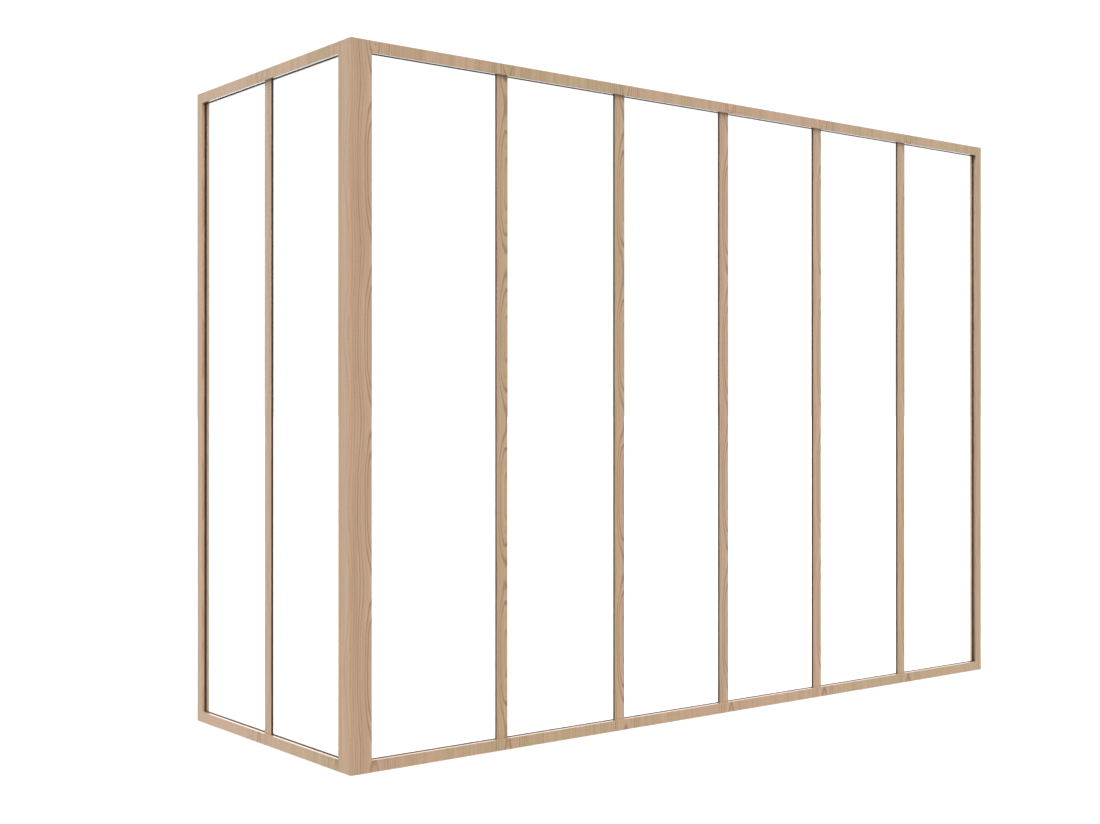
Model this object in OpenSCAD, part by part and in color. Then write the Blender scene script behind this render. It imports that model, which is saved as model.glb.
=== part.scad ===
// Corner glass partition: two full-height glazed wings that meet at a square post.
// Millimetres, +Z up. The origin is on the floor, below the middle of the outline seen from above.
// The long wing runs along +X and the short wing along +Y from the post at the outer corner.

/* [Overall] */
// Height from floor to ceiling
height = 2500; // [2100:5:3000]

/* [Bays] */
// Clear width of the long wing's bay beside the post
long_post_bay = 535; // [350:1:800]
// Clear width of each further bay of the long wing
long_bay = 516; // [350:1:800]
// Clear width of the short wing's bay beside the post
short_post_bay = 505; // [350:1:800]
// Clear width of each further bay of the short wing
short_bay = 511; // [350:1:800]

/* [Frame] */
// Side of the square corner post
post_w = 84; // [76:1:120]
// Face width of the head rails, sill rails and end stiles
frame_face = 41; // [36:1:60]
// Depth of the frame from the outer face to the room side
frame_depth = 32; // [30:1:48]
// Size of the flat on an eased edge
arris = 0.8; // [0.4:0.1:1.5]

/* [Mullions] */
// Face width of a mullion
mullion_face = 49; // [44:1:70]
// Thickness of a mullion's front and back flange
flange_t = 1.5; // [1:0.1:2]
// Wall of the hollow web between the flanges
web_wall = 2; // [1.5:0.1:3]
// Play between a mullion and each side of the groove that takes its end
mullion_play = 0.2; // [0.1:0.05:0.5]
// Room left above a mullion's top end, so that it can be lifted into the head
mullion_top_room = 2; // [1:0.5:4]

/* [Glazing] */
// Thickness of the toughened glass
glass_t = 6; // [4:0.5:10]
// How far a pane's edge reaches past the sight line
edge_cover = 10; // [8:0.5:11]
// Room between a pane's edge and the bottom of its groove
edge_gap = 5; // [4:0.5:6]
// Wall of the slim gasket in a mullion's slot
slim_wall = 0.8; // [0.5:0.1:1.5]
// Thickness of a gasket where it wraps the edge of the glass
gasket_base = 2; // [1:0.5:3]
// How far a gasket's front lip stands out of the frame
gasket_proud = 0.4; // [0.2:0.1:3]
// How far its rear lip stands out, behind the glass
rear_proud = 2; // [0.2:0.1:3]
// Width of the bevel on a gasket's lips
lip_bevel = 1; // [0.5:0.1:1.5]
// Length of a setting block
block_l = 60; // [40:5:100]
// Play between a setting block and each side of the groove
block_play = 0.3; // [0.1:0.1:1]

/* [Joint hardware] */
// Diameter of a dowel
dowel_d = 8; // [6:1:10]
// Length of a dowel
dowel_l = 50; // [30:2:60]
// Radial play of a dowel in its hole
dowel_play = 0.05; // [0.02:0.01:0.1]
// Thickness of a joint plate
plate_t = 3; // [2:0.5:4]
// Width of a joint plate
plate_w = 22; // [18:1:24]
// Reach of a joint plate over the post or stile
plate_short_arm = 34; // [30:1:36]
// Reach of a joint plate over the rail
plate_long_arm = 66; // [50:1:100]
// Distance from a joint plate's end to its first screw
plate_screw_end = 9; // [8:0.5:10]
// Distance from the joint line to the screws beside it
plate_screw_joint = 9; // [8:0.5:10]
// How far a joint plate lies below the surface of the wood
plate_sink = 0.3; // [0.2:0.1:1]
// Play round a joint plate in its recess
plate_play = 0.2; // [0.1:0.1:0.5]
// Diameter of a joint plate's screw
plate_screw_d = 3.5; // [3:0.1:4]
// Length of a joint plate's screw
plate_screw_l = 20; // [16:1:22]

/* [Mullion hardware] */
// Length of the block in each end of a mullion's web
end_block_l = 30; // [24:1:50]
// Play between an end block and each side of the web
end_block_play = 0.1; // [0.05:0.05:0.3]
// Diameter of the screw that holds a mullion's end
mullion_screw_d = 4; // [3:0.1:5]
// Length of the screw that holds a mullion's end
mullion_screw_l = 45; // [36:1:50]

/* [Bead pins] */
// Diameter of a bead pin
pin_d = 1.6; // [1.2:0.1:2]
// Length of a bead pin
pin_l = 30; // [20:1:34]
// Greatest spacing of the bead pins
pin_pitch = 300; // [150:10:400]
// Distance from a bead's end to its first pin
pin_end = 60; // [40:5:100]

/* [Fixing holes] */
// Diameter of a fixing hole through the frame
fixing_d = 6.5; // [5:0.5:8]
// Diameter of a fixing hole's countersink
fixing_head_d = 10.5; // [9:0.5:11]
// Height of the lowest fixing hole of an end stile, and of the highest below the ceiling
fixing_end = 250; // [150:10:400]

/* [Hidden] */
$fn = 48;
eps = 1;                                    // how far a cutter runs past the solid that it cuts
fit = 0.05;                                 // radial play of a screw or pin in its own hole
screw_sink = 0.3;                           // how far a screw's head lies below the surface
long = 0;
short = 1;
post_bay = [long_post_bay, short_post_bay];
bay_w = [long_bay, short_bay];
bays = [6, 2];
stile_fixings = 4;
wing_len = [for (w = [long, short])
    post_w + post_bay[w] + (bays[w] - 1) * (mullion_face + bay_w[w]) + frame_face];

mullion_depth = glass_t + 2 * slim_wall + 2 * flange_t;
slot_w = glass_t + 2 * slim_wall;
groove_w = mullion_depth + 2 * mullion_play;
groove_deep = edge_cover + edge_gap;
gasket_wall = (groove_w - glass_t) / 2;
lip_t = (frame_depth - groove_w) / 2;       // front lip of the frame, and the bead behind the glass
mid = frame_depth / 2;                      // depth of the glass line, measured from the outer face
rebate = frame_face - groove_deep;          // wood left between the groove and the building
web_w = mullion_face - 2 * groove_deep;
chamber_w = web_w - 2 * web_wall;
block_t = edge_gap - gasket_base;
plate_seat = plate_t + plate_sink;
dowel_z = (rebate + plate_seat) / 2;
dowel_off = frame_depth / 4;
pin_depth = frame_depth - lip_t / 2;

oak = [0.76, 0.65, 0.54];
oak_foil = [0.73, 0.63, 0.52];
clear_glass = [0.80, 0.88, 0.87, 0.30];
brown_epdm = [0.33, 0.26, 0.20];
zinc_steel = [0.70, 0.71, 0.72];
grey_nylon = [0.45, 0.46, 0.47];
pale_beech = [0.82, 0.70, 0.52];

// Layout of a wing. Its own axes are: x along the wing from the outer corner, y into the depth, z up.
function bay_start(w, i) =
    i == 1 ? post_w : post_w + post_bay[w] + mullion_face + (i - 2) * (bay_w[w] + mullion_face);
function bay_end(w, i) = bay_start(w, i) + (i == 1 ? post_bay[w] : bay_w[w]);
function bay_mid(w, i) = (bay_start(w, i) + bay_end(w, i)) / 2;
function stile_face(w) = wing_len[w] - frame_face;
function stile_hole(k) = fixing_end + k * (height - 2 * fixing_end) / (stile_fixings - 1);
function pin_places(run) =
    let (gaps = ceil((run - 2 * pin_end) / pin_pitch))
    [for (k = [0 : gaps]) pin_end + k * (run - 2 * pin_end) / gaps];
function plate_screw_places() = [
    plate_screw_end - plate_short_arm, -plate_screw_joint,
    plate_long_arm / 2 - plate_screw_joint, plate_long_arm - plate_screw_end
];

// Puts a piece that is drawn on a wing's own axes where it belongs
module on_wing(w) {
    translate([-wing_len[long] / 2, -wing_len[short] / 2, 0])
        if (w == long) children();
        else mirror([1, -1, 0]) children();
}

// Turns what is drawn at the floor over to the ceiling
module at_ceiling() {
    translate([0, 0, height]) mirror([0, 0, 1]) children();
}

// Both the floor and the ceiling copy
module both_ends() {
    children();
    at_ceiling() children();
}

// A rail's end joint: x runs into the rail from the post (side 0) or from the stile (side 1)
module at_joint(w, side) {
    if (side == 0) translate([post_w, 0, 0]) children();
    else translate([stile_face(w), 0, 0]) mirror([1, 0, 0]) children();
}

// Extrudes a section that is drawn as [depth, height] along a wing
module along_wing(run) {
    rotate([90, 0, 90]) linear_extrude(run) children();
}

// Cutter that eases a square edge at the origin, along +Z
module edge_cutter(run) {
    linear_extrude(run) polygon([[-eps, -eps], [arris + eps, -eps], [-eps, arris + eps]]);
}

// Countersunk screw with a hexagon socket, its head at the origin and its point along +Z
module csk_screw(d, run) {
    head_h = d / 2;
    socket_h = d * 0.4;
    difference() {
        union() {
            cylinder(d1 = 2 * d, d2 = d, h = head_h);
            cylinder(d = d, h = run);
        }
        translate([0, 0, -eps]) cylinder(d = d * 0.7, h = socket_h + eps, $fn = 6);
    }
}

// The room that a countersunk screw takes, open towards -Z
module csk_room(d, run) {
    head_h = d / 2 + fit;
    cylinder(d1 = 2 * d + 2 * fit, d2 = d + 2 * fit, h = head_h);
    translate([0, 0, -eps]) cylinder(d = 2 * d + 2 * fit, h = eps);
    cylinder(d = d + 2 * fit, h = run);
}

// Dowels of one joint
module dowels(play, longer) {
    for (side = [-1, 1])
        translate([-dowel_l / 2 - longer, mid + side * dowel_off, dowel_z])
            rotate([0, 90, 0]) cylinder(d = dowel_d + 2 * play, h = dowel_l + 2 * longer);
}

// Joint plate: a flat strip with four countersunk holes, face down in its recess
module joint_plate() {
    difference() {
        translate([-plate_short_arm, mid - plate_w / 2, plate_sink])
            cube([plate_short_arm + plate_long_arm, plate_w, plate_t]);
        for (x = plate_screw_places())
            translate([x, mid, plate_sink]) csk_room(plate_screw_d, plate_t + eps);
    }
}

// What one joint takes out of the wood: the plate's recess, the screws' holes, the dowels' holes
module joint_room() {
    translate([-plate_short_arm - plate_play, mid - plate_w / 2 - plate_play, -eps])
        cube([
            plate_short_arm + plate_long_arm + 2 * plate_play,
            plate_w + 2 * plate_play,
            plate_seat + eps
        ]);
    for (x = plate_screw_places())
        translate([x, mid, 0])
            cylinder(d = plate_screw_d + 2 * fit, h = plate_sink + plate_screw_l + fit);
    dowels(dowel_play, fit);
}

// Bead pins along a run, drawn as upright pins whose heads are at the sight line
module rail_pins(w, longer, wider) {
    for (x = pin_places(stile_face(w) - post_w))
        translate([post_w + x, pin_depth, frame_face - pin_l - longer])
            cylinder(d = pin_d + 2 * wider, h = pin_l + 2 * longer);
}

module stile_pins(w, longer, wider) {
    for (z = pin_places(height - 2 * frame_face))
        translate([stile_face(w) - longer, pin_depth, frame_face + z])
            rotate([0, 90, 0]) cylinder(d = pin_d + 2 * wider, h = pin_l + 2 * longer);
}

// Countersunk fixing hole through the frame, from the bottom of the groove to the building
module fixing_hole() {
    translate([0, 0, -eps]) cylinder(d = fixing_d, h = rebate + 2 * eps);
    translate([0, 0, rebate - (fixing_head_d - fixing_d) / 2])
        cylinder(d1 = fixing_d, d2 = fixing_head_d, h = (fixing_head_d - fixing_d) / 2);
    translate([0, 0, rebate]) cylinder(d = fixing_head_d, h = eps);
}

// Rail, drawn as the sill: an L section with its lip on the outer side
module rail(w) {
    difference() {
        translate([post_w, 0, 0])
            along_wing(stile_face(w) - post_w)
                polygon([
                    [0, 0], [frame_depth, 0], [frame_depth, rebate], [lip_t, rebate],
                    [lip_t, frame_face], [arris, frame_face], [0, frame_face - arris]
                ]);
        for (side = [0, 1]) at_joint(w, side) joint_room();
        for (i = [1 : bays[w]]) translate([bay_mid(w, i), mid, 0]) fixing_hole();
        for (i = [1 : bays[w] - 1])
            translate([bay_end(w, i) + mullion_face / 2, mid, screw_sink])
                csk_room(mullion_screw_d, mullion_screw_l);
        rail_pins(w, fit, fit);
    }
}

// End stile: rebated between the two rails' grooves
module end_stile(w) {
    difference() {
        translate([stile_face(w), 0, 0]) cube([frame_face, frame_depth, height]);
        translate([stile_face(w) - eps, lip_t, rebate])
            cube([groove_deep + eps, frame_depth, height - 2 * rebate]);
        translate([stile_face(w), 0, frame_face]) edge_cutter(height - 2 * frame_face);
        both_ends() at_joint(w, 1) joint_room();
        for (k = [0 : stile_fixings - 1])
            translate([wing_len[w], mid, stile_hole(k)]) rotate([0, -90, 0]) fixing_hole();
        stile_pins(w, fit, fit);
    }
}

// Corner post: square, with a plain groove for the first pane of each wing
module post_side(w) {
    if (w == long) children();
    else mirror([1, -1, 0]) children();
}

module corner_post() {
    color(oak) on_wing(long) difference() {
        cube([post_w, post_w, height]);
        translate([0, 0, -eps]) edge_cutter(height + 2 * eps);
        translate([post_w, post_w, -eps]) rotate([0, 0, 180]) edge_cutter(height + 2 * eps);
        for (w = [long, short]) post_side(w) {
            translate([post_w - groove_deep, lip_t, rebate])
                cube([groove_deep + eps, groove_w, height - 2 * rebate]);
            translate([post_w, 0, frame_face]) rotate([0, 0, 90])
                edge_cutter(height - 2 * frame_face);
            both_ends() at_joint(w, 0) joint_room();
        }
    }
}

module sill_rail(w) {
    color(oak) on_wing(w) rail(w);
}

module head_rail(w) {
    color(oak) on_wing(w) at_ceiling() rail(w);
}

module stile(w) {
    color(oak) on_wing(w) end_stile(w);
}

// Mullion: H section with a hollow web, both ends let into the rails' grooves
module mullion(w, i) {
    color(oak_foil) on_wing(w)
        translate([bay_end(w, i), mid - mullion_depth / 2, rebate])
            linear_extrude(height - 2 * rebate - mullion_top_room) difference() {
                square([mullion_face, mullion_depth]);
                translate([-eps, flange_t]) square([groove_deep + eps, slot_w]);
                translate([mullion_face - groove_deep, flange_t]) square([groove_deep + eps, slot_w]);
                translate([groove_deep + web_wall, flange_t]) square([chamber_w, slot_w]);
            }
}

// Pane of toughened glass
module pane(w, i) {
    color(clear_glass) on_wing(w)
        translate([bay_start(w, i) - edge_cover, mid - glass_t / 2, frame_face - edge_cover])
            cube([
                bay_end(w, i) - bay_start(w, i) + 2 * edge_cover,
                glass_t,
                height - 2 * frame_face + 2 * edge_cover
            ]);
}

// Gasket sections as [across the glass, away from its edge], the edge of the glass at 0
frame_gasket = [
    [0, -gasket_base], [groove_w, -gasket_base], [groove_w, edge_cover],
    [groove_w - lip_bevel, edge_cover + rear_proud],
    [groove_w - gasket_wall, edge_cover + rear_proud], [groove_w - gasket_wall, 0],
    [gasket_wall, 0], [gasket_wall, edge_cover + gasket_proud],
    [lip_bevel, edge_cover + gasket_proud], [0, edge_cover]
];
slim_gasket = [
    [0, -gasket_base], [slot_w, -gasket_base], [slot_w, edge_cover],
    [slot_w - slim_wall, edge_cover], [slot_w - slim_wall, 0],
    [slim_wall, 0], [slim_wall, edge_cover], [0, edge_cover]
];

// Upright gasket at a pane's left edge, drawn with the sight line at x = 0
module upright_gasket(section, width) {
    translate([-edge_cover, mid - width / 2, frame_face - edge_cover - gasket_base])
        linear_extrude(height - 2 * (frame_face - edge_cover - gasket_base))
            polygon([for (p = section) [p[1], p[0]]]);
}

// Gasket round one pane, in four lengths
module gasket(w, i) {
    at_post = i == 1;
    at_stile = i == bays[w];
    left = bay_start(w, i) + (at_post ? gasket_proud : 0);
    right = bay_end(w, i) - (at_stile ? gasket_proud : 0);
    rear_left = bay_start(w, i) + (at_post ? rear_proud : 0);
    rear_right = bay_end(w, i) - (at_stile ? rear_proud : 0);
    color(brown_epdm) on_wing(w) {
        both_ends()
            difference() {
                translate([left, mid - groove_w / 2, frame_face - edge_cover])
                    along_wing(right - left) polygon(frame_gasket);
                // Room for the rear lips of the uprights
                for (x = [rear_left - post_w, rear_right])
                    translate([x, mid + glass_t / 2, 0]) cube([post_w, gasket_wall + eps, frame_face * 2]);
            }
        translate([bay_start(w, i), 0, 0])
            upright_gasket(at_post ? frame_gasket : slim_gasket, at_post ? groove_w : slot_w);
        translate([bay_end(w, i), 0, 0]) mirror([1, 0, 0])
            upright_gasket(at_stile ? frame_gasket : slim_gasket, at_stile ? groove_w : slot_w);
    }
}

// Glazing bead along a rail, drawn at the sill
module rail_bead(w) {
    difference() {
        translate([post_w, 0, 0])
            along_wing(stile_face(w) + groove_deep - post_w)
                polygon([
                    [frame_depth - lip_t, rebate], [frame_depth, rebate],
                    [frame_depth, frame_face - arris], [frame_depth - arris, frame_face],
                    [frame_depth - lip_t, frame_face]
                ]);
        rail_pins(w, fit, fit);
    }
}

module sill_bead(w) {
    color(oak) on_wing(w) rail_bead(w);
}

module head_bead(w) {
    color(oak) on_wing(w) at_ceiling() rail_bead(w);
}

// Glazing bead along an end stile, between the rails' beads
module stile_bead(w) {
    color(oak) on_wing(w) difference() {
        translate([stile_face(w), frame_depth - lip_t, frame_face])
            cube([groove_deep, lip_t, height - 2 * frame_face]);
        translate([stile_face(w), frame_depth, frame_face - eps]) rotate([0, 0, -90])
            edge_cutter(height - 2 * frame_face + 2 * eps);
        stile_pins(w, fit, fit);
    }
}

// Setting blocks under each pane, at the quarter points
module setting_blocks() {
    color(grey_nylon)
        for (w = [long, short], i = [1 : bays[w]], q = [1, 3])
            on_wing(w)
                translate([
                    bay_start(w, i) + q * (bay_end(w, i) - bay_start(w, i)) / 4 - block_l / 2,
                    mid - groove_w / 2 + block_play,
                    rebate
                ])
                    cube([block_l, groove_w - 2 * block_play, block_t]);
}

module at_every_joint() {
    for (w = [long, short], side = [0, 1])
        on_wing(w) both_ends() at_joint(w, side) children();
}

module joint_dowels() {
    color(pale_beech) at_every_joint() dowels(0, 0);
}

module joint_plates() {
    color(zinc_steel) at_every_joint() joint_plate();
}

module plate_screws() {
    color(zinc_steel) at_every_joint()
        for (x = plate_screw_places())
            translate([x, mid, plate_sink]) csk_screw(plate_screw_d, plate_screw_l);
}

// Places at the foot and the top of every mullion, on its centre line
module at_every_mullion() {
    for (w = [long, short], i = [1 : bays[w] - 1])
        on_wing(w) translate([bay_end(w, i) + mullion_face / 2, mid, 0]) children();
}

// Block in a mullion's web, threaded for the screw
module end_block() {
    difference() {
        translate([-chamber_w / 2 + end_block_play, -slot_w / 2 + end_block_play, 0])
            cube([chamber_w - 2 * end_block_play, slot_w - 2 * end_block_play, end_block_l]);
        translate([0, 0, -eps]) cylinder(d = mullion_screw_d + 2 * fit, h = end_block_l + 2 * eps);
    }
}

module mullion_end_blocks() {
    color(zinc_steel) at_every_mullion() {
        translate([0, 0, rebate]) end_block();
        at_ceiling() translate([0, 0, rebate + mullion_top_room]) end_block();
    }
}

module mullion_screws() {
    color(zinc_steel) at_every_mullion()
        both_ends() translate([0, 0, screw_sink]) csk_screw(mullion_screw_d, mullion_screw_l);
}

module bead_pins() {
    color(zinc_steel)
        for (w = [long, short]) on_wing(w) {
            both_ends() rail_pins(w, 0, 0);
            stile_pins(w, 0, 0);
        }
}

corner_post();
head_rail(long);  // head_rail_long
sill_rail(long);  // sill_rail_long
stile(long);  // end_stile_long
head_rail(short);  // head_rail_short
sill_rail(short);  // sill_rail_short
stile(short);  // end_stile_short
mullion(long, 1);  // mullion_long_1
mullion(long, 2);  // mullion_long_2
mullion(long, 3);  // mullion_long_3
mullion(long, 4);  // mullion_long_4
mullion(long, 5);  // mullion_long_5
mullion(short, 1);  // mullion_short_1
pane(long, 1);  // pane_long_1
pane(long, 2);  // pane_long_2
pane(long, 3);  // pane_long_3
pane(long, 4);  // pane_long_4
pane(long, 5);  // pane_long_5
pane(long, 6);  // pane_long_6
pane(short, 1);  // pane_short_1
pane(short, 2);  // pane_short_2
gasket(long, 1);  // gasket_long_1
gasket(long, 2);  // gasket_long_2
gasket(long, 3);  // gasket_long_3
gasket(long, 4);  // gasket_long_4
gasket(long, 5);  // gasket_long_5
gasket(long, 6);  // gasket_long_6
gasket(short, 1);  // gasket_short_1
gasket(short, 2);  // gasket_short_2
head_bead(long);  // head_bead_long
sill_bead(long);  // sill_bead_long
stile_bead(long);  // stile_bead_long
head_bead(short);  // head_bead_short
sill_bead(short);  // sill_bead_short
stile_bead(short);  // stile_bead_short
setting_blocks();
joint_dowels();
joint_plates();
plate_screws();
mullion_end_blocks();
mullion_screws();
bead_pins();
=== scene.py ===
import bpy
import bmesh
import math
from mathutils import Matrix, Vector


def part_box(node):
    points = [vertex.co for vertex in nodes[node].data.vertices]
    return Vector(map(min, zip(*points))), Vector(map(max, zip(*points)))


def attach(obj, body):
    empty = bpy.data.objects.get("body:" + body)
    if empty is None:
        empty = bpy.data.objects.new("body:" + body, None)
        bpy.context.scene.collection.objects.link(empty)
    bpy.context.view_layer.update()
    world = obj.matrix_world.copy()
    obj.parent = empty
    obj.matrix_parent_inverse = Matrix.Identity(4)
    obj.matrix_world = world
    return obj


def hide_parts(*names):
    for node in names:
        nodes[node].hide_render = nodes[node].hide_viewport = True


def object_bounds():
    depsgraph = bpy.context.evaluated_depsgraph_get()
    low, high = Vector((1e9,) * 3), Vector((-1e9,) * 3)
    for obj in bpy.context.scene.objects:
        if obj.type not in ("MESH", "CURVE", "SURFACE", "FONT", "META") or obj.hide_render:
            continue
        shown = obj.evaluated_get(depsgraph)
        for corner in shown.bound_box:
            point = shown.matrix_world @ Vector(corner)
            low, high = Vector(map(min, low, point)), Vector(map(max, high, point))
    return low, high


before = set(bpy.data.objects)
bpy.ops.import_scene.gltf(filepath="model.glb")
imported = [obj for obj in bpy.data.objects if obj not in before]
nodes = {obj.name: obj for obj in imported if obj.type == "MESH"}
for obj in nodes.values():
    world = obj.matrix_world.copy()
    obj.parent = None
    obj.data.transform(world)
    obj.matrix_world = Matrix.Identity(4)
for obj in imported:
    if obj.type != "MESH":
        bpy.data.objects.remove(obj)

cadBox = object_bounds()
scene = bpy.context.scene
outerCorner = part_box("corner_post")[0]
mm = 1000.0                         # in a metre: the patterns are sized in millimetres
print("frame loaded:", len(nodes), "nodes")


def toLinear(hexColour):
    parts = [int(hexColour[i:i + 2], 16) / 255 for i in (1, 3, 5)]
    return [p / 12.92 if p <= 0.04045 else ((p + 0.055) / 1.055) ** 2.4 for p in parts] + [1.0]


def addNode(tree, kind, inputs=None, **settings):
    node = tree.nodes.new(kind)
    for name, value in settings.items():
        setattr(node, name, value)
    for socket, value in (inputs or {}).items():
        if isinstance(value, bpy.types.Node):
            value = value.outputs[0]
        if isinstance(value, bpy.types.NodeSocket):
            tree.links.new(value, node.inputs[socket])
        else:
            node.inputs[socket].default_value = value
    return node


def startMaterial(name):
    material = bpy.data.materials.new(name)
    material.use_nodes = True
    tree = material.node_tree
    tree.nodes.clear()
    surface = addNode(tree, "ShaderNodeBsdfPrincipled")
    addNode(tree, "ShaderNodeOutputMaterial", {"Surface": surface.outputs[0]})
    place = addNode(tree, "ShaderNodeTexCoord").outputs["Object"]
    return material, tree, surface, place


def setStops(ramp, stops):
    # The first two stops are the ends that a new ramp has already
    for k, (at, colour) in enumerate(stops):
        stop = ramp.color_ramp.elements[k] if k < 2 else ramp.color_ramp.elements.new(at)
        stop.color = colour


# Oak, planed and satin lacquered: pale straw brown, brown growth lines, a soft sheen at a slant.
# Lengths are in mm on the frame itself
oak = {
    "pale": "#D7BC9C",
    "middle": "#C6A986",
    "deep": "#B59573",
    "line": "#8A6446",              # a growth line's dark side, and the inside of a pore
    "olive": "#BDAB7C",
    "pink": "#D6AC92",
    # Logs: olive and pink ones follow each other along a wing, and the wood pales away from the post.
    # Pairs are for the long wing and the short one
    "hueShare": 0.4,                # how much of the olive or pink goes into the wood's own colour
    "railHue": 1.3,                 # times that share on the crossbanded rails
    "hueTurn": 1963.0,              # from one olive log to the next, pink between them
    "hueStart": (917.0, 96.0),      # from the outer corner to the first olive one
    "hueSwing": 0.13,               # how much the place counts, beside the broad bands in the wood
    "hueBand": (0.22, 0.62),        # where the sum of the two turns from olive to pink
    "oliveSide": (58.0, 67.0),      # behind the post's outer face, where the wood turns olive
    "sapwoodPink": 0.1,             # share of the pink that is left there
    "paler": (0.13, 0.8),           # how much paler with each metre
    # Level faces give back a share of the face's colour: partly their cut grain, partly painted shade
    # that tones down the overhead light on tops and undersides
    "levelFrom": 0.7,               # how far up or down a normal points on a level face
    "endGrainAndShade": 0.78,               # on an upright's cut end: its end grain, and painted shade
    "edge": 0.66,                   # on a rail's top and underside, where its core shows, and painted shade
    # Growth rings round a heart line, which leans in and out of the face and so cuts them into eyes
    "ringPitch": 9.5,               # from one ring to the next
    "eyePitch": 570.0,              # from one eye to the next, up and along
    "eyeBase": 350.0,               # from the floor to the lowest eye
    "eyeColumn": 92.0,              # from the outer corner to the first column of eyes
    "eyeLean": 37.0,                # how far the heart leans between two eyes
    # How far a ring strays from its course, how wide and tall one bend is, and octaves of detail,
    # for its slow wandering and then for the ripples on it
    "stray": ((12.0, 60.0, 260.0, 2.0), (3.5, 14.0, 55.0, 1.0)),
    # Growth lines: darkness through a year, the two ends of the year first
    "season": ((0.0, 0.0), (1.0, 0.0), (0.5, 0.08), (0.82, 1.0)),
    "vigour": (0.3, 1.0),           # the weakest year's line and the strongest one's
    "vigourBend": 1.6,              # above 1, weak years outnumber strong ones
    "lineDepth": 0.85,
    "nearEye": 35.0,                # from the heart: the lines keep their full depth up to here
    "farEye": 130.0,                # and from here on they keep only the next share of it
    "lineFar": 0.3,
    # Patterns that run up the grain: width, length, octaves of detail
    "patterns": {
        "streak": (9.0, 420.0, 3.0),
        "fibre": (2.6, 120.0, 2.0),     # coarser than real, so that it shows
        "broad": (38.0, 4000.0, 1.0),
        "pore": (0.7, 14.0, 0.0),       # twice the real width, so that it shows
    },
    # How far each moves the tone: crossbanding shows its streaks and bands more than an upright does
    "uprightSwing": {"streak": 1.5, "fibre": 0.7, "broad": 0.35},
    "railSwing": {"streak": 2.625, "fibre": 1.225, "broad": 1.225},
    "poreEdge": (0.64, 0.74),       # where the pattern counts as a pore
    "poreDepth": 0.25,
    "poreSink": 0.6,                # how far a pore sinks, beside the height of a fibre
    "reliefShare": 0.25,
    "reliefDepth": 0.0002,          # metres
    "roughness": 0.4,
    "roughnessSwing": 0.12,         # from the smoothest streak to the roughest
    "woodGloss": 0.2,               # what the wood itself still throws back under the film
    "film": 1.0,                    # share of the lacquer's clear film over the wood
    "filmIor": 1.5,
    "filmRoughness": 0.14,
}


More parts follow.
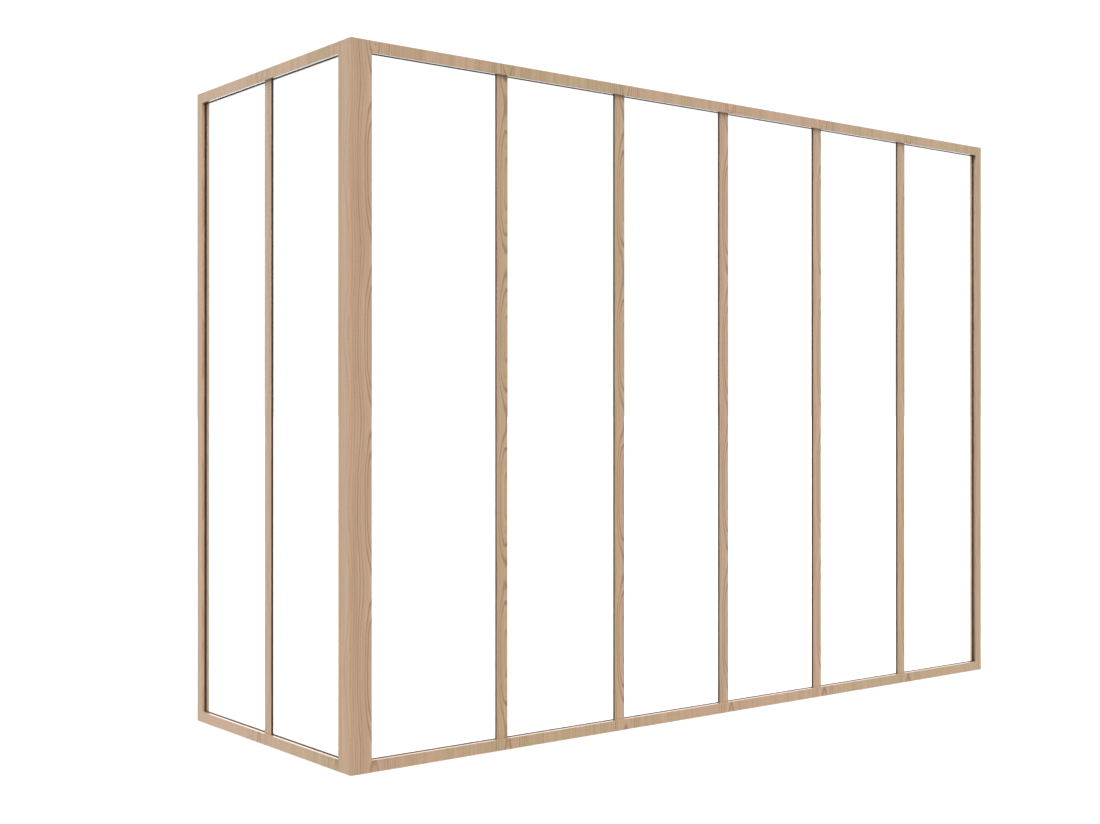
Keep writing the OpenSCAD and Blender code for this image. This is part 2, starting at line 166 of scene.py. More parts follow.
def makeOak(name, wing, rail=False, faceDepth=0.0):
    # wing is 0 on the long wing and 1 on the short one; faceDepth is how many mm
    # the piece's face lies behind the frame's
    material, tree, surface, place = startMaterial(name)
    corner = [-mm * c for c in (outerCorner.x, outerCorner.y, 0)]
    spot = addNode(tree, "ShaderNodeMapping", {0: place, "Location": corner, "Scale": (mm, mm, mm)})
    axes = addNode(tree, "ShaderNodeSeparateXYZ", {0: spot}).outputs
    along, deep = axes[wing], axes[1 - wing]
    grain = addNode(tree, "ShaderNodeCombineXYZ", {0: along, 1: deep, 2: axes[2]})
    level = addNode(tree, "ShaderNodeNewGeometry").outputs["Normal"]
    level = addNode(tree, "ShaderNodeSeparateXYZ", {0: level}).outputs[2]
    level = addNode(tree, "ShaderNodeMath", {0: level}, operation="ABSOLUTE")
    level = addNode(tree, "ShaderNodeMath", {0: level, 1: oak["levelFrom"]}, operation="GREATER_THAN")
    if rail:
        # A rail's upright faces are crossbanded, and its top and underside show the core's long grain
        lying = addNode(tree, "ShaderNodeCombineXYZ", {0: axes[2], 1: deep, 2: along})
        grain = addNode(tree, "ShaderNodeMix", {
            0: level, 4: grain, 5: lying}, data_type="VECTOR").outputs[1]
    across, inward, up = addNode(tree, "ShaderNodeSeparateXYZ", {0: grain}).outputs

    # Where the heart line is, seen from each spot
    half, centre = oak["eyePitch"] / 2, oak["eyeColumn"]
    side = addNode(tree, "ShaderNodeMath", {
        0: across, 1: centre + half, 2: centre - half}, operation="WRAP")
    side = addNode(tree, "ShaderNodeMath", {0: side, 1: centre}, operation="SUBTRACT")
    turn = math.pi / half
    swing = addNode(tree, "ShaderNodeMath", {
        0: up, 1: turn, 2: -turn * oak["eyeBase"]}, operation="MULTIPLY_ADD")
    swing = addNode(tree, "ShaderNodeMath", {0: swing}, operation="COSINE")
    lean = addNode(tree, "ShaderNodeMath", {
        0: swing, 1: -oak["eyeLean"] / 2, 2: oak["eyeLean"] / 2}, operation="MULTIPLY_ADD")
    sunk = addNode(tree, "ShaderNodeMath", {0: lean, 1: inward}, operation="ADD")
    sunk = addNode(tree, "ShaderNodeMath", {0: sunk, 1: faceDepth}, operation="SUBTRACT")
    heart = addNode(tree, "ShaderNodeCombineXYZ", {0: side, 1: sunk})
    for far, wide, tall, detail in oak["stray"]:
        bends = addNode(tree, "ShaderNodeMapping", {
            0: grain, "Scale": (1 / wide, 1 / wide, 1 / tall)})
        bends = addNode(tree, "ShaderNodeTexNoise", {"Vector": bends, "Scale": 1.0, "Detail": detail})
        shift = addNode(tree, "ShaderNodeVectorMath", {
            0: bends.outputs["Color"], 1: (0.5, 0.5, 0.5)}, operation="SUBTRACT")
        shift = addNode(tree, "ShaderNodeVectorMath", {
            0: shift, 1: (far, far, 0)}, operation="MULTIPLY")
        heart = addNode(tree, "ShaderNodeVectorMath", {0: heart, 1: shift}, operation="ADD")
    radius = addNode(tree, "ShaderNodeVectorMath", {0: heart}, operation="LENGTH").outputs["Value"]

    # One line a year, dark late in the season, each with its own vigour, fainter far from the heart
    age = addNode(tree, "ShaderNodeMath", {0: radius, 1: oak["ringPitch"]}, operation="DIVIDE")
    year = addNode(tree, "ShaderNodeMath", {0: age}, operation="FLOOR")
    season = addNode(tree, "ShaderNodeMath", {0: age}, operation="FRACT")
    line = addNode(tree, "ShaderNodeValToRGB", {0: season})
    setStops(line, [(at, (dark, dark, dark, 1)) for at, dark in oak["season"]])
    vigour = addNode(tree, "ShaderNodeTexWhiteNoise", {"W": year}, noise_dimensions="1D")
    vigour = addNode(tree, "ShaderNodeMapRange", {
        "Value": vigour.outputs["Value"], "To Min": oak["vigour"][0], "To Max": oak["vigour"][1]})
    vigour = addNode(tree, "ShaderNodeMath", {0: vigour, 1: oak["vigourBend"]}, operation="POWER")
    line = addNode(tree, "ShaderNodeMath", {0: line, 1: vigour}, operation="MULTIPLY")
    fade = addNode(tree, "ShaderNodeMapRange", {
        "Value": radius, "From Min": oak["nearEye"], "From Max": oak["farEye"],
        "To Min": 1.0, "To Max": oak["lineFar"]}, interpolation_type="SMOOTHSTEP")
    line = addNode(tree, "ShaderNodeMath", {0: line, 1: fade}, operation="MULTIPLY")

    patterns = {}
    for part, (wide, tall, detail) in oak["patterns"].items():
        spread = addNode(tree, "ShaderNodeMapping", {
            0: grain, "Scale": (1 / wide, 1 / wide, 1 / tall)})
        patterns[part] = addNode(tree, "ShaderNodeTexNoise", {
            "Vector": spread, "Scale": 1.0, "Detail": detail}).outputs[0]
    pores = addNode(tree, "ShaderNodeMapRange", {
        "Value": patterns["pore"], "From Min": oak["poreEdge"][0], "From Max": oak["poreEdge"][1]},
        interpolation_type="SMOOTHSTEP")

    # Tone runs from 0, deep, to 1, pale, and each pattern swings it about the middle
    swings = oak["railSwing" if rail else "uprightSwing"]
    tone = addNode(tree, "ShaderNodeMath", {
        0: along, 1: oak["paler"][wing] / mm,
        2: 0.5 - 0.5 * sum(swings.values())}, operation="MULTIPLY_ADD")
    for part, swing in swings.items():
        tone = addNode(tree, "ShaderNodeMath", {
            0: patterns[part], 1: swing, 2: tone}, operation="MULTIPLY_ADD")
    ramp = addNode(tree, "ShaderNodeValToRGB", {0: tone})
    setStops(ramp, [(at, toLinear(oak[colour])) for at, colour in (
        (0.0, "deep"), (1.0, "pale"), (0.5, "middle"))])

    # Hue turns from olive to pink and back along the wing, and is olive deep in the post
    log = 2 * math.pi / oak["hueTurn"]
    warm = addNode(tree, "ShaderNodeMath", {
        0: along, 1: log, 2: -log * oak["hueStart"][wing]}, operation="MULTIPLY_ADD")
    warm = addNode(tree, "ShaderNodeMath", {0: warm}, operation="COSINE")
    warm = addNode(tree, "ShaderNodeMath", {
        0: warm, 1: -oak["hueSwing"], 2: patterns["broad"]}, operation="MULTIPLY_ADD")
    warm = addNode(tree, "ShaderNodeMapRange", {
        "Value": warm, "From Min": oak["hueBand"][0], "From Max": oak["hueBand"][1]})
    sapwood = addNode(tree, "ShaderNodeMapRange", {
        "Value": deep, "From Min": oak["oliveSide"][0], "From Max": oak["oliveSide"][1],
        "To Min": 1.0, "To Max": oak["sapwoodPink"]}, interpolation_type="SMOOTHSTEP")
    warm = addNode(tree, "ShaderNodeMath", {0: warm, 1: sapwood}, operation="MULTIPLY")
    hue = addNode(tree, "ShaderNodeMix", {
        0: warm, 6: toLinear(oak["olive"]), 7: toLinear(oak["pink"])}, data_type="RGBA").outputs[2]
    hueShare = oak["hueShare"] * (oak["railHue"] if rail else 1.0)
    wood = addNode(tree, "ShaderNodeMix", {0: hueShare, 6: ramp, 7: hue}, data_type="RGBA").outputs[2]

    # Lines and pores go over it, and a level face gives back less: its cut grain, and painted shade
    for mark, depth in ((line, "lineDepth"), (pores, "poreDepth")):
        depth = addNode(tree, "ShaderNodeMath", {0: mark, 1: oak[depth]}, operation="MULTIPLY")
        wood = addNode(tree, "ShaderNodeMix", {
            0: depth, 6: wood, 7: toLinear(oak["line"])}, data_type="RGBA").outputs[2]
    # Level faces darker: their cut grain, and painted shade against the overhead light
    share = [oak["edge" if rail else "endGrainAndShade"]] * 3 + [1.0]
    wood = addNode(tree, "ShaderNodeMix", {
        0: level, 6: wood, 7: share}, data_type="RGBA", blend_type="MULTIPLY").outputs[2]
    tree.links.new(wood, surface.inputs["Base Color"])

    relief = addNode(tree, "ShaderNodeMath", {
        0: pores, 1: -oak["poreSink"], 2: patterns["fibre"]}, operation="MULTIPLY_ADD")
    bump = addNode(tree, "ShaderNodeBump", {
        "Height": relief, "Strength": oak["reliefShare"], "Distance": oak["reliefDepth"]})
    tree.links.new(bump.outputs[0], surface.inputs["Normal"])
    rough = addNode(tree, "ShaderNodeMath", {
        0: patterns["streak"], 1: oak["roughnessSwing"],
        2: oak["roughness"] - oak["roughnessSwing"] / 2}, operation="MULTIPLY_ADD")
    tree.links.new(rough.outputs[0], surface.inputs["Roughness"])
    surface.inputs["Specular IOR Level"].default_value = oak["woodGloss"]
    surface.inputs["Coat Weight"].default_value = oak["film"]
    surface.inputs["Coat IOR"].default_value = oak["filmIor"]
    surface.inputs["Coat Roughness"].default_value = oak["filmRoughness"]
    return material


# Toughened float glass: clear, white gloss at a slant, barely wavy from its rollers
glass = {
    "tint": "#FEFFFF",
    "ior": 1.52,
    "roughness": 0.004,
    "wavePitch": 333.333,           # mm from one wave to the next
    "waveShare": 0.02,
    "waveDepth": 0.002,             # metres
}


def makeGlass():
    material, tree, surface, place = startMaterial("toughenedFloatGlass")
    tree.nodes.remove(surface)
    wavy = addNode(tree, "ShaderNodeTexNoise", {
        "Vector": place, "Scale": mm / glass["wavePitch"], "Detail": 1.0}).outputs[0]
    wavy = addNode(tree, "ShaderNodeBump", {
        "Height": wavy, "Strength": glass["waveShare"], "Distance": glass["waveDepth"]}).outputs[0]
    clear = addNode(tree, "ShaderNodeBsdfTransparent", {"Color": toLinear(glass["tint"])})
    gloss = addNode(tree, "ShaderNodeBsdfAnisotropic", {
        "Roughness": glass["roughness"], "Normal": wavy})
    slant = addNode(tree, "ShaderNodeFresnel", {"IOR": glass["ior"]})
    back = addNode(tree, "ShaderNodeNewGeometry").outputs["Backfacing"]
    front = addNode(tree, "ShaderNodeMath", {0: 1.0, 1: back}, operation="SUBTRACT")
    share = addNode(tree, "ShaderNodeMath", {0: slant, 1: front}, operation="MULTIPLY")
    both = addNode(tree, "ShaderNodeMixShader", {0: share, 1: clear, 2: gloss})
    tree.links.new(both.outputs[0], tree.nodes["Material Output"].inputs["Surface"])
    return material


# The other finishes. Each has a colour, a second one that it clouds towards, and a fine pattern:
# "grain" is how much darker the pattern's low places are, "pitch" the size of its marks in mm
finishes = {
    # Extruded rubber: dull warm brown, slightly chalky; the dark brown is partly painted shade of the
    # glazing recess round the glass
    "brownRubberWithRecessShade": {"colour": "#70503D", "cloud": "#7B5C49", "roughness": 0.6, "grain": 0.2,
                        "pitch": (2.5, 2.5, 2.5)},
    # Moulded nylon: mid grey, mottled by pale glass fibres 1 mm long
    "glassFilledNylon": {"colour": "#7A7C7E", "cloud": "#696C70", "roughness": 0.48, "grain": 0.3,
                         "pitch": (1.0, 1.0, 0.4)},
    # Turned beech, raw: pinkish straw with short fibres along the dowel
    "beechDowel": {"colour": "#D8B68C", "cloud": "#CBA27A", "roughness": 0.62, "grain": 0.3,
                   "pitch": (18.0, 0.8, 0.8), "alongWing": True},
    # Zinc plate on steel: cool silver with straw-coloured clouds, finely pitted
    "zincPlatedSteel": {"colour": "#C6C9CB", "cloud": "#BDBBAE", "roughness": 0.34, "grain": 0.14,
                        "pitch": (0.9, 0.9, 0.9), "metallic": 1.0},
    # Aluminium as it left the saw: soft grey silver, fine lines round each block
    "sawnAluminium": {"colour": "#CDCFD1", "cloud": "#BFC2C5", "roughness": 0.42, "grain": 0.22,
                      "pitch": (30.0, 30.0, 0.5), "metallic": 1.0},
    # The studio's floor: trowelled screed, all but plain
    "paleScreed": {"colour": "#F4F4F2", "cloud": "#F1F1EF", "roughness": 0.9, "grain": 0.02,
                   "pitch": (25.0, 25.0, 25.0)},
}
# What they all share
plain = {
    "cloudPitch": 22.0,             # mm across a cloud
    "cloudEdge": (0.35, 0.65),      # where the first colour turns into the second
    "roughnessSwing": 0.06,         # to either side of a finish's own roughness
    "reliefShare": 0.3,
    "reliefDepth": 0.00005,         # metres, from the high to the low places of a pattern
}


def makePlain(name):
    # Colour, sheen and relief all follow the one fine pattern
    finish = finishes[name]
    material, tree, surface, place = startMaterial(name)
    if finish.get("alongWing"):
        # Grain runs along X on the long wing and along Y on the short one
        axes = addNode(tree, "ShaderNodeSeparateXYZ", {0: place}).outputs
        turned = addNode(tree, "ShaderNodeCombineXYZ", {0: axes[1], 1: axes[0], 2: axes[2]})
        onShort = addNode(tree, "ShaderNodeMath", {
            0: axes[1], 1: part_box("head_rail_long")[1].y}, operation="GREATER_THAN")
        place = addNode(tree, "ShaderNodeMix", {
            0: onShort, 4: place, 5: turned}, data_type="VECTOR").outputs[1]
    fine = addNode(tree, "ShaderNodeMapping", {0: place, "Scale": [mm / p for p in finish["pitch"]]})
    fine = addNode(tree, "ShaderNodeTexNoise", {"Vector": fine, "Scale": 1.0, "Detail": 3.0})
    cloud = addNode(tree, "ShaderNodeTexNoise", {
        "Vector": place, "Scale": mm / plain["cloudPitch"], "Detail": 2.0})
    cloud = addNode(tree, "ShaderNodeMapRange", {
        "Value": cloud, "From Min": plain["cloudEdge"][0], "From Max": plain["cloudEdge"][1]})
    base = addNode(tree, "ShaderNodeMix", {
        0: cloud, 6: toLinear(finish["colour"]), 7: toLinear(finish["cloud"])}, data_type="RGBA")
    low = [1 - finish["grain"]] * 3 + [1.0]
    share = addNode(tree, "ShaderNodeMix", {0: fine, 6: low, 7: (1, 1, 1, 1)}, data_type="RGBA")
    shade = addNode(tree, "ShaderNodeMix", {
        0: 1.0, 6: base.outputs[2], 7: share.outputs[2]}, data_type="RGBA", blend_type="MULTIPLY")
    tree.links.new(shade.outputs[2], surface.inputs["Base Color"])
    sheen = finish["roughness"], plain["roughnessSwing"]
    rough = addNode(tree, "ShaderNodeMapRange", {
        "Value": fine, "To Min": sheen[0] - sheen[1], "To Max": sheen[0] + sheen[1]})
    tree.links.new(rough.outputs[0], surface.inputs["Roughness"])
    bump = addNode(tree, "ShaderNodeBump", {
        "Height": fine, "Strength": plain["reliefShare"], "Distance": plain["reliefDepth"]})
    tree.links.new(bump.outputs[0], surface.inputs["Normal"])
    surface.inputs["Metallic"].default_value = finish.get("metallic", 0.0)
    return material


mullionDepth = (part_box("mullion_long_1")[0].y - outerCorner.y) * mm
# A rail is crossbanded, an upright solid: the long and the short wing each have their own logs
oakRails = {"long": makeOak("oakSatinLacquerLong", 0, rail=True),
            "short": makeOak("oakSatinLacquerShort", 1, rail=True)}
oakUprights = {"long": makeOak("oakSatinLacquerUpright", 0),
               "short": makeOak("oakSatinLacquerUprightShort", 1)}
# Veneer foil round drawn aluminium looks the same, with the figure that its set-back face cuts
oakFoils = {"long": makeOak("oakFoilOnAluminiumLong", 0, faceDepth=mullionDepth),
            "short": makeOak("oakFoilOnAluminiumShort", 1, faceDepth=mullionDepth)}
clearGlass = makeGlass()
gasketRubberShade = makePlain("brownRubberWithRecessShade")
nylon = makePlain("glassFilledNylon")
beech = makePlain("beechDowel")
zinc = makePlain("zincPlatedSteel")
alloy = makePlain("sawnAluminium")
print("materials made")


def dress(names, material):
    for name in names:
        slots = nodes[name].data.materials
        slots.clear()
        slots.append(material)


def ready(piece, slot, *replaced):
    # A finished piece of the frame, standing for its CAD nodes
    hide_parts(*replaced)
    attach(piece, "root")


# Edges: sawn and sanded timber, drawn aluminium, a seamed edge on the toughened glass.
# Each has the width of its rounding in metres, the shortest edge that gets it, and its segments
easing = {
    "timber": (0.0004, 0.25, 2),
    "mullion": (0.0003, 0.25, 2),
    "glass": (0.0007, 0.0, 1),
}
weld = 1e-6                         # metres, within which two points are one
flatWithin = 0.002                  # radians, within which two faces are one
sharpFrom = math.radians(30)        # a flatter edge isn't rounded


def eased(name, kind, material, slot):
    # A copy of a CAD node whose long outside edges are rounded
    width, shortest, segments = easing[kind]
    shape = bmesh.new()
    shape.from_mesh(nodes[name].data)
    bmesh.ops.remove_doubles(shape, verts=shape.verts, dist=weld)
    bmesh.ops.dissolve_limit(shape, angle_limit=flatWithin, verts=shape.verts, edges=shape.edges)
    edges = [e for e in shape.edges if e.calc_length() > shortest and e.is_convex
             and e.calc_face_angle(0) > sharpFrom]
    bmesh.ops.bevel(shape, geom=edges, offset=width, segments=segments, profile=0.5,
                    affect="EDGES", clamp_overlap=False)
    mesh = bpy.data.meshes.new(name + "_eased")
    shape.to_mesh(mesh)
    shape.free()
    mesh.materials.append(material)
    piece = bpy.data.objects.new(name + "_eased", mesh)
    scene.collection.objects.link(piece)
    ready(piece, slot, name)


for wing in ("long", "short"):
    for name in sorted(nodes):
        if not name.endswith("_" + wing) and "_" + wing + "_" not in name:
            continue
        if name.startswith("mullion_"):
            eased(name, "mullion", oakFoils[wing], "oak_foil")
        elif name.startswith("pane_"):
            eased(name, "glass", clearGlass, "glass")
        elif "stile" in name:
            eased(name, "timber", oakUprights[wing], "oak")
        elif "rail" in name or "bead" in name:
            eased(name, "timber", oakRails[wing], "oak")
eased("corner_post", "timber", oakUprights["long"], "oak")
# Gaskets in rubber whose dark brown is partly painted shade of the glazing recess
dress([n for n in nodes if n.startswith("gasket_")], gasketRubberShade)
dress(["setting_blocks"], nylon)
dress(["joint_plates"], zinc)
dress(["mullion_end_blocks"], alloy)
print("frame eased and dressed")

# Screws, pins and dowels: each a turned shape, given as rows of
# (height in diameters, height in lengths, radius in diameters) from its head to its point
turnings = {
    "screw": [(0, 0, 0.97), (0.04, 0, 1.0), (0.5, 0, 0.48), (0.62, 0, 0.40),
              (-1.1, 1, 0.38), (0, 1, 0.03)],
    "pin": [(0, 0, 0.38), (0.14, 0, 0.5), (0.85, 0, 0.5), (1.1, 0, 0.43),
            (-1.6, 1, 0.43), (0, 1, 0.04)],
    "dowel": [(0, 0, 0.40), (0.12, 0, 0.5), (-0.12, 1, 0.5), (0, 1, 0.40)],
}
fasteners = {
    "screwSides": 32,
    "pinSides": 16,
    "socketSides": 6,               # a hexagon key's
    "socketAcross": 0.35,           # radius of a screw's socket, in diameters
    "socketDeep": 0.4,              # its depth, in diameters
    "threadFrom": 1.2,              # where a screw's thread starts, in diameters below its head
    "threadPitch": 0.0016,          # metres
    "threadSteps": 16,              # on one turn of the thread
    "threadRidge": 0.11,            # half the width of its three-sided ridge, in diameters
    "flutes": 18,
    "fluteDeep": 0.94,              # radius at the bottom of a dowel's flute, as a share of its own
    "smoothBelow": 35.0,            # degrees between two faces that are shaded as one surface
}


def startTree(name):
    tree = bpy.data.node_groups.new(name, "GeometryNodeTree")
    tree.interface.new_socket("Points", in_out="INPUT", socket_type="NodeSocketGeometry")
    for size in ("Diameter", "Length"):
        tree.interface.new_socket(size, in_out="INPUT", socket_type="NodeSocketFloat")
    tree.interface.new_socket("Material", in_out="INPUT", socket_type="NodeSocketMaterial")
    tree.interface.new_socket("Pieces", in_out="OUTPUT", socket_type="NodeSocketGeometry")
    return tree, addNode(tree, "NodeGroupInput").outputs


def turn(tree, sizes, rows, profile):
    # Sweeps a profile along +Z, and swells it as the rows say
    number = addNode(tree, "GeometryNodeInputIndex")
    height = addNode(tree, "GeometryNodeIndexSwitch", {"Index": number}, data_type="FLOAT")
    radius = addNode(tree, "GeometryNodeIndexSwitch", {"Index": number}, data_type="FLOAT")
    for k, (diameters, lengths, share) in enumerate(rows):
        if k > 1:                   # a new switch has two items already
            height.index_switch_items.new()
            radius.index_switch_items.new()
        down = addNode(tree, "ShaderNodeMath", {
            0: sizes["Length"], 1: float(lengths)}, operation="MULTIPLY")
        down = addNode(tree, "ShaderNodeMath", {
            0: sizes["Diameter"], 1: float(diameters), 2: down}, operation="MULTIPLY_ADD")
        tree.links.new(down.outputs[0], height.inputs[1 + k])
        radius.inputs[1 + k].default_value = share
    line = addNode(tree, "GeometryNodeMeshLine", {"Count": len(rows)})
    place = addNode(tree, "ShaderNodeCombineXYZ", {2: height})
    line = addNode(tree, "GeometryNodeSetPosition", {"Geometry": line, "Position": place})
    line = addNode(tree, "GeometryNodeMeshToCurve", {"Mesh": line})
    return addNode(tree, "GeometryNodeCurveToMesh", {
        "Curve": line, "Profile Curve": profile, "Scale": radius, "Fill Caps": True})


def placeOnPoints(tree, sizes, shape):
    # One shape on every point, turned so that its +Z runs along the point's aim
    aim = addNode(tree, "GeometryNodeInputNamedAttribute", {"Name": "aim"}, data_type="FLOAT_VECTOR")
    turned = addNode(tree, "FunctionNodeAlignRotationToVector", {"Vector": aim}, axis="Z")
    many = addNode(tree, "GeometryNodeInstanceOnPoints", {
        "Points": sizes["Points"], "Instance": shape, "Rotation": turned})
    many = addNode(tree, "GeometryNodeRealizeInstances", {"Geometry": many})
    many = addNode(tree, "GeometryNodeSetMaterial", {"Geometry": many, "Material": sizes["Material"]})
    addNode(tree, "NodeGroupOutput", {0: many})


def makeScrewTree():
    tree, sizes = startTree("socketScrews")
    circle = addNode(tree, "GeometryNodeCurvePrimitiveCircle", {
        "Resolution": fasteners["screwSides"], "Radius": sizes["Diameter"]})
    body = turn(tree, sizes, turnings["screw"], circle)
    across = addNode(tree, "ShaderNodeMath", {
        0: sizes["Diameter"], 1: fasteners["socketAcross"]}, operation="MULTIPLY")
    deep = addNode(tree, "ShaderNodeMath", {
        0: sizes["Diameter"], 1: 2 * fasteners["socketDeep"]}, operation="MULTIPLY")
    key = addNode(tree, "GeometryNodeMeshCylinder", {
        "Vertices": fasteners["socketSides"], "Radius": across, "Depth": deep})
    body = addNode(tree, "GeometryNodeMeshBoolean", {
        "Mesh 1": body, "Mesh 2": key}, operation="DIFFERENCE")

    # Thread: a ridge wound round the core, down to where the point begins
    top = addNode(tree, "ShaderNodeMath", {
        0: sizes["Diameter"], 1: fasteners["threadFrom"]}, operation="MULTIPLY")
    run = addNode(tree, "ShaderNodeMath", {0: sizes["Length"], 1: top}, operation="SUBTRACT")
    run = addNode(tree, "ShaderNodeMath", {0: run, 1: sizes["Diameter"]}, operation="SUBTRACT")
    turns = addNode(tree, "ShaderNodeMath", {0: run, 1: fasteners["threadPitch"]}, operation="DIVIDE")
    ridge = addNode(tree, "ShaderNodeMath", {
        0: sizes["Diameter"], 1: fasteners["threadRidge"]}, operation="MULTIPLY")
    reach = addNode(tree, "ShaderNodeMath", {
        0: sizes["Diameter"], 1: 0.5 - fasteners["threadRidge"]}, operation="MULTIPLY")
    helix = addNode(tree, "GeometryNodeCurveSpiral", {
        "Resolution": fasteners["threadSteps"], "Rotations": turns,
        "Start Radius": reach, "End Radius": reach, "Height": run})
    lift = addNode(tree, "ShaderNodeCombineXYZ", {2: top})
    helix = addNode(tree, "GeometryNodeTransform", {"Geometry": helix, "Translation": lift})
    edge = addNode(tree, "GeometryNodeCurvePrimitiveCircle", {"Resolution": 3, "Radius": ridge})
    thread = addNode(tree, "GeometryNodeCurveToMesh", {
        "Curve": helix, "Profile Curve": edge, "Fill Caps": True})
    whole = addNode(tree, "GeometryNodeJoinGeometry", {0: body})
    tree.links.new(thread.outputs[0], whole.inputs[0])
    placeOnPoints(tree, sizes, whole)
    return tree


def makePinTree():
    tree, sizes = startTree("beadPins")
    circle = addNode(tree, "GeometryNodeCurvePrimitiveCircle", {
        "Resolution": fasteners["pinSides"], "Radius": sizes["Diameter"]})
    placeOnPoints(tree, sizes, turn(tree, sizes, turnings["pin"], circle))
    return tree


def makeDowelTree():
    tree, sizes = startTree("flutedDowels")
    inner = addNode(tree, "ShaderNodeMath", {
        0: sizes["Diameter"], 1: fasteners["fluteDeep"]}, operation="MULTIPLY")
    star = addNode(tree, "GeometryNodeCurveStar", {
        "Points": fasteners["flutes"], "Inner Radius": inner, "Outer Radius": sizes["Diameter"]})
    placeOnPoints(tree, sizes, turn(tree, sizes, turnings["dowel"], star))
    return tree


def solidEnds(name):
    # The loose solids of a CAD node: each one's outer end, inner end and thickness
    solid = bmesh.new()
    solid.from_mesh(nodes[name].data)
    bmesh.ops.remove_doubles(solid, verts=solid.verts, dist=weld)
    middle = (cadBox[0] + cadBox[1]) / 2
    seen, ends = set(), []
    for first in solid.verts:
        if first in seen:
            continue
        seen.add(first)
        island = [first]
        for vert in island:         # the island grows while it is read
            fresh = [e.other_vert(vert) for e in vert.link_edges if e.other_vert(vert) not in seen]
            seen.update(fresh)
            island.extend(fresh)
        low = Vector([min(v.co[k] for v in island) for k in range(3)])
        high = Vector([max(v.co[k] for v in island) for k in range(3)])
        axis = max(range(3), key=lambda k: high[k] - low[k])
        outer, inner = (low + high) / 2, (low + high) / 2
        outer[axis], inner[axis] = low[axis], high[axis]
        if abs(outer[axis] - middle[axis]) < abs(inner[axis] - middle[axis]):
            outer, inner = inner, outer
        ends.append((outer, inner, min(high[k] - low[k] for k in range(3))))
    solid.free()
    return ends


def makeFasteners(name, node, slot, tree, material, headOut, thickInDiameters):
    # headOut: the head is at the outer end; thickInDiameters: how many diameters the solid is thick
    ends = solidEnds(node)
    mesh = bpy.data.meshes.new(name)
    mesh.from_pydata([outer if headOut else inner for outer, inner, thick in ends], [], [])
    aim = mesh.attributes.new("aim", "FLOAT_VECTOR", "POINT")
    for k, (outer, inner, thick) in enumerate(ends):
        aim.data[k].vector = (inner - outer) if headOut else (outer - inner)
    piece = bpy.data.objects.new(name, mesh)
    scene.collection.objects.link(piece)
    maker = piece.modifiers.new(name, "NODES")
    maker.node_group = tree
    outer, inner, thick = ends[0]
    values = {"Diameter": thick / thickInDiameters, "Length": (inner - outer).length,
              "Material": material}
    for socket in tree.interface.items_tree:
        if socket.name in values:
            maker[socket.identifier] = values[socket.name]
    made = piece.evaluated_get(bpy.context.evaluated_depsgraph_get())
    made = bpy.data.meshes.new_from_object(made)
    piece.modifiers.clear()
    piece.data = made
    shape = bmesh.new()
    shape.from_mesh(made)
    bmesh.ops.recalc_face_normals(shape, faces=shape.faces)
    shape.to_mesh(made)
    shape.free()
    made.shade_smooth()
    made.set_sharp_from_angle(angle=math.radians(fasteners["smoothBelow"]))
    ready(piece, slot, node)
    print(name, len(ends), "pieces,", len(made.polygons), "faces")


screwTree, pinTree, dowelTree = makeScrewTree(), makePinTree(), makeDowelTree()
makeFasteners("plateScrews", "plate_screws", "zinc_steel", screwTree, zinc, True, 2)
makeFasteners("mullionScrews", "mullion_screws", "zinc_steel", screwTree, zinc, True, 2)
makeFasteners("beadPins", "bead_pins", "zinc_steel", pinTree, zinc, False, 1)
makeFasteners("jointDowels", "joint_dowels", "beech", dowelTree, beech, True, 1)

# Studio: a white room, one broad soft key from the upper left, a pale floor
studio = {
    "overhead": 2.7,                # white light from straight above
    "level": 0.2,                   # and from the side, where the room ends
    "below": 0.5,                   # and from the ground
    "horizon": -0.02,               # where the ground begins, as the height of a direction
    "seen": 1.1,                    # the same white room as the camera sees it
    "away": (0.62, 0.79, 0.0),      # towards the bright wall that the frame stands before
    "wall": 2.1,                    # that wall as a gloss shows it
    "dim": 0.5,                     # and the dimmer room in front
    "wallEdge": (0.55, 0.85),       # how squarely a direction meets the wall where dim turns bright
    "ceiling": 0.3,                 # what a gloss that faces upwards sees on top of them
    "ceilingEdge": (0.35, 0.9),     # from which height to which it grows
    "keyFrom": (-0.62, -0.10, 0.78),
    "keyStrength": 0.35,
    "keySoftness": 40.0,            # degrees across, like a big soft box
    "floorSize": 500.0,             # half its side
}
world = bpy.data.worlds.new("whiteRoom")
world.use_nodes = True
sky = world.node_tree
sky.nodes.clear()
heading = addNode(sky, "ShaderNodeTexCoord").outputs["Generated"]
height = addNode(sky, "ShaderNodeSeparateXYZ", {0: heading}).outputs[2]
rising = addNode(sky, "ShaderNodeMapRange", {
    "Value": height, "To Min": studio["level"], "To Max": studio["overhead"]})
above = addNode(sky, "ShaderNodeMath", {0: height, 1: studio["horizon"]}, operation="GREATER_THAN")
light = addNode(sky, "ShaderNodeMix", {0: above, 2: studio["below"], 3: rising}, data_type="FLOAT")
facing = addNode(sky, "ShaderNodeVectorMath", {
    0: heading, 1: studio["away"]}, operation="DOT_PRODUCT")
mirrored = addNode(sky, "ShaderNodeMapRange", {
    "Value": facing.outputs["Value"], "From Min": studio["wallEdge"][0],
    "From Max": studio["wallEdge"][1], "To Min": studio["dim"], "To Max": studio["wall"]})
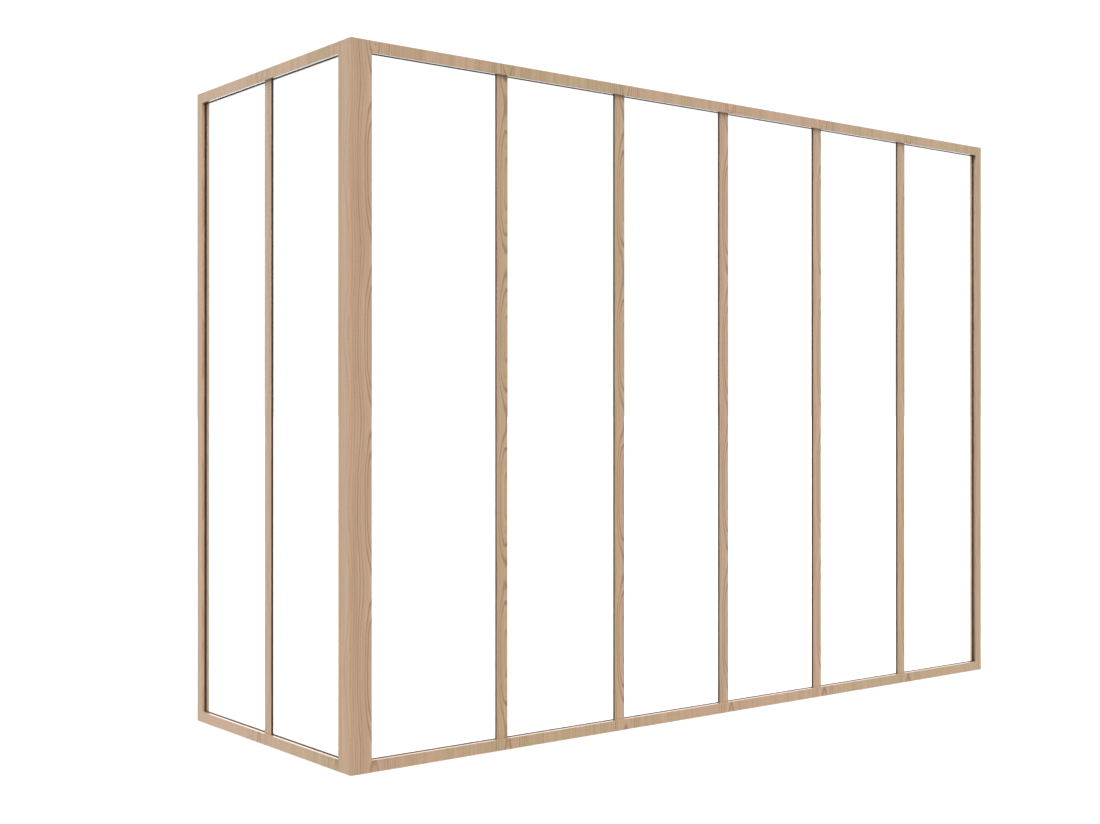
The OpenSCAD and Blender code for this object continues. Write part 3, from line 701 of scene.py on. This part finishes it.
steep = addNode(sky, "ShaderNodeMapRange", {
    "Value": height, "From Min": studio["ceilingEdge"][0],
    "From Max": studio["ceilingEdge"][1], "To Min": 0.0, "To Max": studio["ceiling"]})
mirrored = addNode(sky, "ShaderNodeMath", {0: mirrored, 1: steep}, operation="ADD")
rays = addNode(sky, "ShaderNodeLightPath").outputs
light = addNode(sky, "ShaderNodeMix", {
    0: rays["Is Glossy Ray"], 2: light, 3: mirrored}, data_type="FLOAT")
light = addNode(sky, "ShaderNodeMix", {
    0: rays["Is Camera Ray"], 2: light, 3: studio["seen"]}, data_type="FLOAT")
glow = addNode(sky, "ShaderNodeBackground", {"Color": (1, 1, 1, 1), "Strength": light})
addNode(sky, "ShaderNodeOutputWorld", {"Surface": glow})
scene.world = world

key = bpy.data.objects.new("key", bpy.data.lights.new("key", "SUN"))
key.data.energy = studio["keyStrength"]
key.data.angle = math.radians(studio["keySoftness"])
key.rotation_euler = (-Vector(studio["keyFrom"])).to_track_quat("-Z", "Y").to_euler()
scene.collection.objects.link(key)

floorMesh = bpy.data.meshes.new("floor")
far = studio["floorSize"]
corners = [(-far, -far, 0), (far, -far, 0), (far, far, 0), (-far, far, 0)]
floorMesh.from_pydata(corners, [], [(0, 1, 2, 3)])
floor = bpy.data.objects.new("floor", floorMesh)
scene.collection.objects.link(floor)
floorMesh.materials.append(makePlain("paleScreed"))
floor.visible_diffuse = False       # it shows, but the studio's own values light the frame from below
floor.visible_glossy = False

# The photograph's view, solved from the edges of the frame in it
camera = {
    "place": (-4.39426, -5.05952, 1.22616),
    "towards": (0.617909, 0.786249, 0.000938),
    "lens": 49.8368,                # mm
    "sensor": 36.0,                 # mm wide
    "reach": 2000.0,                # metres, past the floor's corners
}
eye = bpy.data.objects.new("camera", bpy.data.cameras.new("camera"))
eye.location = camera["place"]
eye.rotation_euler = Vector(camera["towards"]).to_track_quat("-Z", "Y").to_euler()
eye.data.lens = camera["lens"]
eye.data.sensor_width = camera["sensor"]
eye.data.clip_end = camera["reach"]
scene.collection.objects.link(eye)
scene.camera = eye
scene.view_settings.view_transform = "Standard"
print("studio set")
